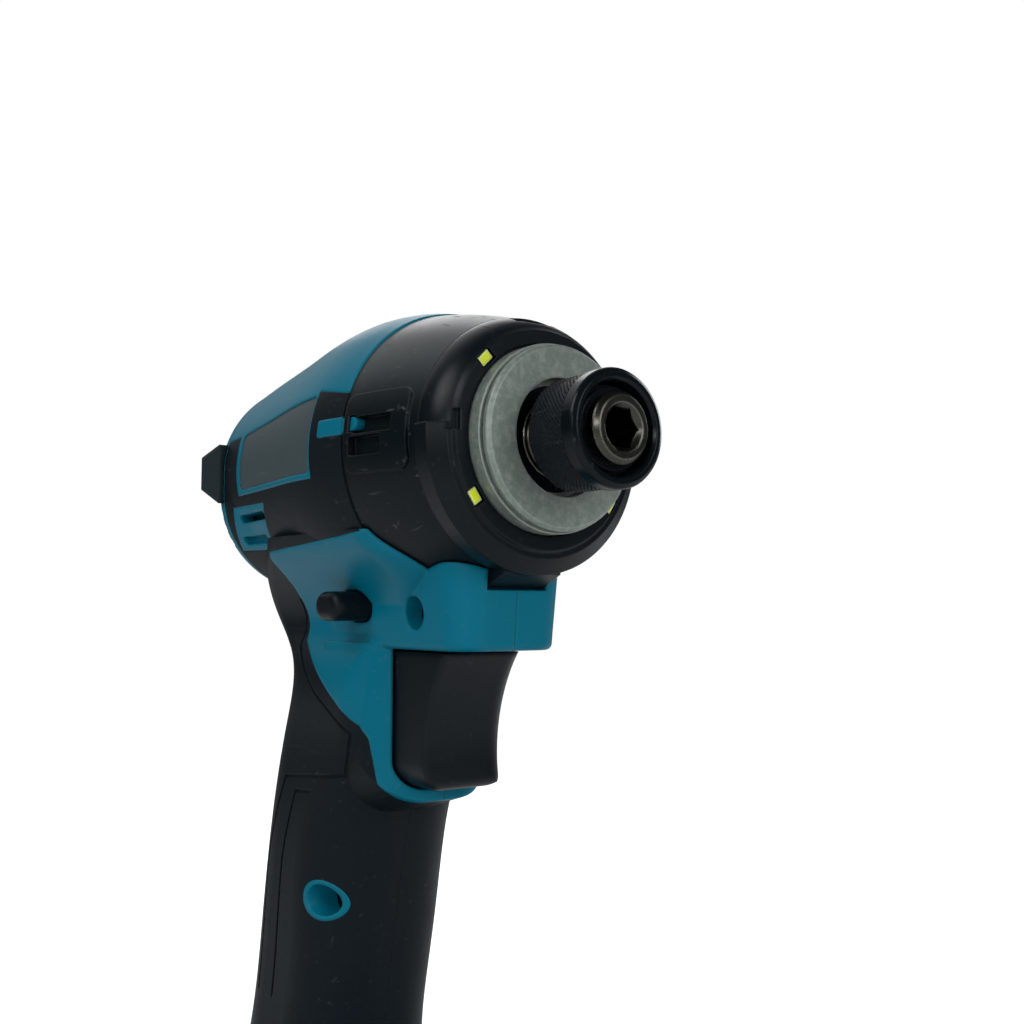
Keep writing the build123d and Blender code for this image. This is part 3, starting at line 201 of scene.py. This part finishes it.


# mask of sharp edges, where the rounded normal leaves the true one, 0 to 1; the finishes lighten these edges,
# partly as wear and partly as painted highlight
def makeEdgeRubAndHighlight(given):
    tree, taken, out = newGroup(
        "edgeRubAndHighlight",
        [("Radius", "NodeSocketFloat", 0.0004)],
        [("Mask", "NodeSocketFloat"), ("Normal", "NodeSocketVector")],
    )
    rounded = addNode(tree, "ShaderNodeBevel", samples=given["samples"])
    tree.links.new(taken.outputs["Radius"], rounded.inputs["Radius"])
    true = tree.nodes.new("ShaderNodeNewGeometry")
    dot = addNode(tree, "ShaderNodeVectorMath", operation="DOT_PRODUCT")
    tree.links.new(rounded.outputs["Normal"], dot.inputs[0])
    tree.links.new(true.outputs["Normal"], dot.inputs[1])
    leaving = calc(tree, "SUBTRACT", 1.0, dot.outputs["Value"])
    tree.links.new(calc(tree, "MULTIPLY", leaving, given["gain"], True), out.inputs["Mask"])
    tree.links.new(rounded.outputs["Normal"], out.inputs["Normal"])
    return tree


groups = {
    "grain": makeMouldGrain(grainSet),
    "handling": makeHandling(handlingSet),
    "edge": makeEdgeRubAndHighlight(edgeSet),
}
print("shader groups:", ", ".join(g.name for g in groups.values()))


# FINISHES
plainLook = {
    "grainScale": 2500.0,
    "bump": 0.25,
    "depth": 0.06,  # of the grain, mm
    "fleck": 0.0,  # worn colour on the peaks of the grain
    "marks": 0.4,  # smudges and scratches
    "scuff": 0.12,  # dust in them
    "haze": 0.0,  # painted sheen: a paler colour on what faces up, standing in for reflected light from above
    "round": 0.35,  # of the edges, mm
    "rub": 0.25,  # worn colour on them, partly wear and partly a painted highlight along the edges
    "metal": 0.0,
    "specular": 0.5,
}
finishSet = {
    # pale grey for the dust in scuffs and for the painted sheen on what faces up
    "dustAndSheenColour": paint(150, 158, 158),
    "fleckRange": (-1.2, 1.6),  # only the upper part of the grain's height shows flecks
    "roughSpan": 0.06,
    "smudgeGloss": -0.12,
}


def look(colour, shade, wornAndHighlight, rough, **more):
    colours = {"colour": paint(*colour), "shade": paint(*shade), "wornAndHighlight": paint(*wornAndHighlight)}
    return {**plainLook, **colours, "rough": rough, **more}


finishes = {
    # the teal's pale rubbed edges are partly a painted highlight along its edges
    "teal": look((0, 100, 123), (0, 93, 115), (24, 126, 147), 0.38, specular=0.1, rub=0.4, round=0.9),
    "soft_black": look((14, 23, 29), (10, 18, 24), (30, 40, 46), 0.5, specular=0.1, bump=0.4, depth=0.08,
                       marks=0.5, scuff=0.14),
    "black_plastic": look((6, 15, 21), (4, 12, 18), (28, 38, 43), 0.32, specular=0.16, round=0.45),
    # its wide pale edge band is partly a painted highlight on the rounded edges
    "worn_and_highlit_black": look((7, 16, 22), (4, 12, 18), (34, 44, 49), 0.36, specular=0.16, round=1.7),
    # a grey lifted well above the soft black: painted light, standing in for the light on the bumper's face
    "painted_lit_bumper": look((34, 44, 48), (28, 38, 42), (52, 62, 66), 0.5, specular=0.1, bump=0.4, round=1.2),
    # its upward pale share is a painted sheen, standing in for reflected light from above
    "cover_plastic": look((8, 17, 22), (6, 14, 19), (44, 54, 57), 0.34, specular=0.13, bump=0.08,
                          marks=0.7, scuff=0.35, haze=0.11),
    # its pale rubbed rim is partly a painted highlight on the disc's edge
    "cast_alloy": look((114, 125, 120), (102, 112, 108), (172, 178, 170), 0.45, metal=0.35, bump=0.5,
                       grainScale=800.0, depth=0.08, fleck=0.4, rub=0.8, round=0.5),
    # its pale rubbed edges are partly a painted highlight on the anvil's chamfer
    "tool_steel": look((72, 72, 66), (60, 60, 56), (196, 194, 184), 0.3, metal=1.0, bump=0.1,
                       rub=0.4, round=0.55),
    "black_steel": look((5, 13, 18), (3, 10, 14), (30, 41, 46), 0.25, specular=0.16, bump=0.1, rub=0.15),
    "steel": look((120, 122, 122), (100, 102, 103), (190, 192, 192), 0.3, metal=1.0, bump=0.1),
    "copper": look((176, 96, 52), (150, 78, 40), (210, 130, 80), 0.3, metal=1.0, bump=0.2),
    "lamination": look((88, 90, 92), (72, 74, 76), (130, 132, 134), 0.5, metal=1.0, bump=0.2),
    "plate": look((58, 71, 75), (53, 66, 70), (92, 102, 105), 0.5, specular=0.3, bump=0.1),
    "board": look((12, 74, 44), (9, 62, 36), (40, 100, 70), 0.45, bump=0.1),
    "cell": look((52, 92, 150), (44, 80, 134), (90, 124, 170), 0.35, bump=0.1),
    "brass": look((186, 158, 92), (166, 138, 76), (220, 196, 132), 0.3, metal=1.0, bump=0.1),
    # its near-white rubbed edges are a painted glare on the lamp windows
    "lamp": look((206, 222, 14), (194, 212, 10), (246, 248, 226), 0.4, bump=0.1, round=0.6, rub=0.8),
}
# nodes with a finish other than their slot's: trigger and lever with wide edges smoothed by hands, their pale
# edge band partly a painted highlight; the bumper in a lifted grey, which is painted light
ownFinish = {"trigger": "worn_and_highlit_black", "lever": "worn_and_highlit_black", "rear_bumper": "painted_lit_bumper"}


# one moulded or machined finish: base colour varied by swell, dust and scuffs, a painted sheen on what faces
# up, edges lightened partly as wear and partly as painted highlight, grain as bump
def makeFinish(name, given):
    mat = bpy.data.materials.new(name)
    mat.use_nodes = True
    tree = mat.node_tree
    shader = tree.nodes["Principled BSDF"]
    place = addNode(tree, "ShaderNodeTexCoord")
    grain = addNode(tree, "ShaderNodeGroup", node_tree=groups["grain"], Scale=given["grainScale"])
    marks = addNode(tree, "ShaderNodeGroup", node_tree=groups["handling"], Amount=given["marks"])
    edge = addNode(tree, "ShaderNodeGroup", node_tree=groups["edge"], Radius=given["round"] * mm)
    for node in (grain, marks):
        tree.links.new(place.outputs["Object"], node.inputs["Vector"])

    base = mixColour(tree, grain.outputs["Swell"], given["colour"], given["shade"])
    peaks = spread(tree, grain.outputs["Height"], finishSet["fleckRange"])
    base = mixColour(tree, calc(tree, "MULTIPLY", peaks, given["fleck"], True), base, given["wornAndHighlight"])
    scuffs = calc(tree, "ADD", marks.outputs["Dust"], marks.outputs["Scratch"], True)
    # painted sheen: upward faces paled towards the same grey as the real dust of the scuffs
    paintedSheenShare = calc(tree, "MULTIPLY", marks.outputs["PaintedSheen"], given["haze"])
    dustAndSheen = calc(tree, "ADD", calc(tree, "MULTIPLY", scuffs, given["scuff"]), paintedSheenShare, True)
    base = mixColour(tree, dustAndSheen, base, finishSet["dustAndSheenColour"])
    # edges lightened to the worn colour: partly wear, partly a painted highlight along the edges
    rubbed = calc(tree, "MULTIPLY", edge.outputs["Mask"], given["rub"])
    tree.links.new(mixColour(tree, rubbed, base, given["wornAndHighlight"]), shader.inputs["Base Color"])

    dull, shiny = given["rough"] + finishSet["roughSpan"], given["rough"] - finishSet["roughSpan"]
    rough = spread(tree, grain.outputs["Height"], (shiny, dull))
    gloss = calc(tree, "MULTIPLY", marks.outputs["Smudge"], finishSet["smudgeGloss"])
    rough = calc(tree, "ADD", calc(tree, "ADD", rough, gloss), marks.outputs["Scratch"], True)
    tree.links.new(rough, shader.inputs["Roughness"])

    bump = addNode(tree, "ShaderNodeBump", Strength=given["bump"], Distance=given["depth"] * mm)
    tree.links.new(grain.outputs["Height"], bump.inputs["Height"])
    tree.links.new(edge.outputs["Normal"], bump.inputs["Normal"])
    tree.links.new(bump.outputs["Normal"], shader.inputs["Normal"])
    shader.inputs["Metallic"].default_value = given["metal"]
    shader.inputs["Specular IOR Level"].default_value = given["specular"]
    return mat


materials = {name: makeFinish(name, values) for name, values in finishes.items()}
for row in frame["record"]["subparts"]:
    mesh = nodes[row["node"]].data
    mesh.materials.clear()
    mesh.materials.append(materials[ownFinish.get(row["node"], row["material_slot"])])
print("materials:", len(materials), "finishes on", len(nodes), "nodes")


# quads of a grid whose columns close round, and its rows too where asked
def gridQuads(rowCount, columnCount, closed):
    rows = np.arange(rowCount if closed else rowCount - 1)
    row, column = np.meshgrid(rows, np.arange(columnCount), indexing="ij")
    nextRow, nextColumn = (row + 1) % rowCount, (column + 1) % columnCount
    corners = ((row, column), (nextRow, column), (nextRow, nextColumn), (row, nextColumn))
    return np.stack([r * columnCount + c for r, c in corners], axis=-1).reshape(-1, 4)


# KNURLED SLEEVE, stands for the plain turned one
sleeveSet = {
    "teeth": 72,  # diamonds round it
    "perTooth": 6,  # columns to a diamond
    "depth": 0.24,  # of the grooves, mm, as all that follows
    "drop": 0.25,  # of the knurl below the rim
    "wall": 2.15,
    "rearChamfer": 0.7,
    "rearBelly": 0.32,  # drop halfway along it
    "neck": 0.5,  # groove between knurl and rim
    "neckDrop": 0.35,
    "edge": 0.1,  # slope at the neck's sides, and the rim's corner
    "rim": 3.1,  # smooth front band
    "rimLead": 0.2,
    "rimChamfer": 0.8,
    "rimBelly": 0.22,  # drop halfway along it
    "rimNose": 0.12,
    "mouth": 0.5,  # chamfer of the bore
}


# radius of row and column: the profile, less crossed grooves |2 frac(n a +- k x) - 1| squared where knurled
def makeSleeve(given):
    low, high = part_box("bit_sleeve")
    back, front, outer = low.x / mm, high.x / mm, (high.y - low.y) / 2 / mm
    bore, grip = outer - given["wall"], outer - given["drop"]
    rimBack, chamfer, edge = front - given["rim"], given["rimChamfer"], given["edge"]
    knurlBack, knurlFront = back + given["rearChamfer"], rimBack - given["neck"]
    pitch = 2 * math.pi * grip / given["teeth"]
    steps = int(round((knurlFront - knurlBack) / pitch * given["perTooth"]))
    head = np.array([
        (back, bore),
        (back, grip - given["rearChamfer"]),
        (back + given["rearChamfer"] / 2, grip - given["rearBelly"]),
    ])
    knurl = np.column_stack([np.linspace(knurlBack, knurlFront, steps), np.full(steps, grip)])
    rim = np.array([
        (knurlFront + edge, grip - given["neckDrop"]),
        (rimBack - edge, grip - given["neckDrop"]),
        (rimBack, outer - edge),
        (rimBack + given["rimLead"], outer),
        (front - chamfer, outer),
        (front - chamfer / 2, outer - given["rimBelly"]),
        (front - given["rimNose"], outer - chamfer + edge),
        (front, outer - chamfer - edge),
        (front, bore + given["mouth"]),
        (front - given["mouth"], bore),
    ])
    profile = np.vstack([head, knurl, rim])
    cut = np.zeros(len(profile))
    cut[len(head):len(head) + steps] = 1.0

    count = given["teeth"] * given["perTooth"]
    angle = np.arange(count) * 2 * math.pi / count
    turns = given["teeth"] * angle[None, :] / (2 * math.pi)
    lead = (profile[:, 0] / pitch)[:, None]
    groove = np.maximum(np.abs(2 * ((turns + lead) % 1) - 1), np.abs(2 * ((turns - lead) % 1) - 1)) ** 2
    radius = profile[:, 1][:, None] - given["depth"] * cut[:, None] * groove
    x = np.repeat(profile[:, 0][:, None], count, axis=1)
    places = np.stack([x, radius * np.cos(angle), radius * np.sin(angle)], axis=-1) * mm
    places[..., 2] += axisZ

    quads = gridQuads(len(profile), count, closed=True)
    mesh = bpy.data.meshes.new("knurled_sleeve")
    mesh.from_pydata(places.reshape(-1, 3).tolist(), [], quads.tolist())
    mesh.materials.append(materials["black_steel"])
    piece = putIn("knurled_sleeve", mesh)
    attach(piece, "sleeve")
    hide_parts("bit_sleeve")
    return len(quads)


print("knurled sleeve:", makeSleeve(sleeveSet), "faces")


# HAMMER SPRING, a coiled wire that stands for the solid one
springSet = {
    "turns": 5,
    "wire": 2.4,  # mm
    "perTurn": 36,
    "around": 12,  # points round the wire
}


# wire circle carried along a helix: centre r (cos t, sin t) with x rising evenly over the turns, ends capped
def makeSpring(given):
    low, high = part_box("hammer_spring")
    back, front, outer = low.x / mm, high.x / mm, (high.y - low.y) / 2 / mm
    half, count = given["wire"] / 2, given["around"]
    mean = outer - half
    t = np.linspace(0, 2 * math.pi * given["turns"], given["turns"] * given["perTurn"] + 1)
    rise = (front - back - 2 * half) / t[-1]
    zero = np.zeros_like(t)
    outward = np.stack([zero, np.cos(t), np.sin(t)], axis=-1)
    along = np.stack([zero + rise, -mean * np.sin(t), mean * np.cos(t)], axis=-1)
    along /= np.linalg.norm(along, axis=-1, keepdims=True)
    sideways = np.cross(along, outward)
    centre = mean * outward + np.stack([back + half + rise * t, zero, zero], axis=-1)
    u = np.arange(count) * 2 * math.pi / count
    ring = np.cos(u)[None, :, None] * outward[:, None] + np.sin(u)[None, :, None] * sideways[:, None]
    places = (centre[:, None] + half * ring) * mm
    places[..., 2] += axisZ

    quads = gridQuads(len(t), count, closed=False)[:, [0, 3, 2, 1]]  # wound so that they face outwards
    caps = [list(range(count))[::-1], list(range((len(t) - 1) * count, len(t) * count))]
    mesh = bpy.data.meshes.new("coiled_hammer_spring")
    mesh.from_pydata(places.reshape(-1, 3).tolist(), [], quads.tolist() + caps)
    mesh.polygons.foreach_set("use_smooth", np.ones(len(mesh.polygons), dtype=bool))
    mesh.materials.append(materials["steel"])
    piece = putIn("coiled_hammer_spring", mesh)
    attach(piece, "carrier")
    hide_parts("hammer_spring")
    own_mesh(piece)
    return len(mesh.polygons)


print("hammer spring:", makeSpring(springSet), "faces")


# STAGE
stageSet = {
    "floorHalf": 3.0,  # metres
    "floorColour": (236, 236, 236),
    "floorRough": 0.9,
    "floorGlow": (0.42, 0.8),  # under the object, where its shadow shows, and further out
    "glowReach": (0.1, 0.7),  # metres
    "floorMirror": 0.05,  # share of that glow that glossy surfaces see
    "dome": 0.3,
    "mirrorDome": 0.07,  # what glossy surfaces see of it
    "backdrop": (-0.68, 0.0, 0.73),  # the white wall leans over on this side
    "wallEdge": (0.78, 0.98),  # where its white fades in
    "lamps": {
        "key": {"place": (0.1, -0.8, 0.9), "size": 0.6, "watts": 4.6},
        "front": {"place": (0.85, 0.15, 0.45), "size": 0.5, "watts": 2.6},
        "side": {"place": (0.62, -0.72, 0.42), "size": 0.18, "watts": 2.0},
        "rim": {"place": (-0.6, 0.4, 0.7), "size": 0.5, "watts": 1.2},
        "fill": {"place": (-0.1, 0.95, 0.55), "size": 0.6, "watts": 3.0},
    },
}
white = (1.0, 1.0, 1.0, 1.0)


def mirroredRays(tree, path):
    return calc(tree, "ADD", path.outputs["Is Glossy Ray"], path.outputs["Is Transmission Ray"], True)


# pale floor that glows for camera rays, more so away from the object, and a little in glossy surfaces
def makeFloor(given):
    corners = np.array([(-1, -1), (1, -1), (1, 1), (-1, 1)]) * given["floorHalf"]
    mesh = bpy.data.meshes.new("floor")
    mesh.from_pydata(np.column_stack([corners, np.zeros(4)]).tolist(), [], [(0, 1, 2, 3)])
    mat = bpy.data.materials.new("paleFloor")
    mat.use_nodes = True
    tree = mat.node_tree
    shader = tree.nodes["Principled BSDF"]
    shader.inputs["Base Color"].default_value = paint(*given["floorColour"])
    shader.inputs["Roughness"].default_value = given["floorRough"]
    shader.inputs["Emission Color"].default_value = white
    path = tree.nodes.new("ShaderNodeLightPath")
    mirrored = calc(tree, "MULTIPLY", mirroredRays(tree, path), given["floorMirror"])
    seen = calc(tree, "ADD", path.outputs["Is Camera Ray"], mirrored, True)
    place = tree.nodes.new("ShaderNodeTexCoord")
    far = addNode(tree, "ShaderNodeVectorMath", operation="LENGTH")
    tree.links.new(place.outputs["Object"], far.inputs[0])
    glow = spread(tree, far.outputs["Value"], given["floorGlow"], given["glowReach"], smooth=True)
    tree.links.new(calc(tree, "MULTIPLY", seen, glow), shader.inputs["Emission Strength"])
    mesh.materials.append(mat)
    floor = putIn("floor", mesh)


# white for camera rays; glossy and transmission rays meet a white wall behind the object, the rest a dim dome
def makeWorld(given):
    world = bpy.data.worlds.new("studio")
    bpy.context.scene.world = world
    world.use_nodes = True
    tree = world.node_tree
    tree.nodes.clear()
    path = tree.nodes.new("ShaderNodeLightPath")
    place = tree.nodes.new("ShaderNodeTexCoord")
    toward = addNode(tree, "ShaderNodeVectorMath", operation="DOT_PRODUCT")
    tree.links.new(place.outputs["Generated"], toward.inputs[0])
    toward.inputs[1].default_value = given["backdrop"]
    wall = spread(tree, toward.outputs["Value"], (0.0, 1.0), given["wallEdge"], smooth=True)
    mirrored = mirroredRays(tree, path)
    walled = calc(tree, "MULTIPLY", mirrored, wall)
    seen = calc(tree, "ADD", path.outputs["Is Camera Ray"], walled, True)
    bright = addNode(tree, "ShaderNodeBackground", Color=white, Strength=1.0)
    dome = addNode(tree, "ShaderNodeBackground", Color=white)
    drop = calc(tree, "MULTIPLY", mirrored, given["dome"] - given["mirrorDome"])
    tree.links.new(calc(tree, "SUBTRACT", given["dome"], drop), dome.inputs["Strength"])
    mix = tree.nodes.new("ShaderNodeMixShader")
    out = tree.nodes.new("ShaderNodeOutputWorld")
    tree.links.new(seen, mix.inputs["Fac"])
    tree.links.new(dome.outputs[0], mix.inputs[1])
    tree.links.new(bright.outputs[0], mix.inputs[2])
    tree.links.new(mix.outputs[0], out.inputs["Surface"])


def makeLamp(name, given, target):
    lamp = bpy.data.lights.new(name, "AREA")
    lamp.shape = "DISK"
    lamp.size = given["size"]
    lamp.energy = given["watts"]
    holder = putIn(name, lamp)
    holder.location = given["place"]
    holder.rotation_euler = (target - Vector(given["place"])).to_track_quat("-Z", "Y").to_euler()


makeFloor(stageSet)
makeWorld(stageSet)
headCentre = Vector((0.0, 0.0, axisZ))
for lampName, lampSet in stageSet["lamps"].items():
    makeLamp(lampName, lampSet, headCentre)
bpy.context.scene.view_settings.view_transform = "Standard"
print("stage and", len(stageSet["lamps"]), "lamps set")


# CAMERA, fitted to the round edges of the nose
cameraSet = {
    "place": (197.94, -130.05, 183.31),  # mm
    "yaw": 37.52,  # degrees off the drive axis
    "pitch": 4.52,
    "roll": 0.08,
    "lens": 42.19,  # mm
    "sensor": 36.0,
    "clipStart": 10.0,
}


# looks back along the drive axis, turned aside by yaw and up by pitch
def makeCamera(given):
    yaw, pitch, roll = (math.radians(given[k]) for k in ("yaw", "pitch", "roll"))
    way = Vector((-math.cos(yaw) * math.cos(pitch), math.sin(yaw) * math.cos(pitch), math.sin(pitch)))
    data = bpy.data.cameras.new("camera")
    data.lens = given["lens"]
    data.sensor_width = given["sensor"]
    data.clip_start = given["clipStart"] * mm
    turn = way.to_track_quat("-Z", "Y").to_matrix().to_4x4() @ Matrix.Rotation(roll, 4, "Z")
    camera = putIn("camera", data)
    camera.matrix_world = Matrix.Translation(Vector(given["place"]) * mm) @ turn
    bpy.context.scene.camera = camera


makeCamera(cameraSet)
print("camera set")
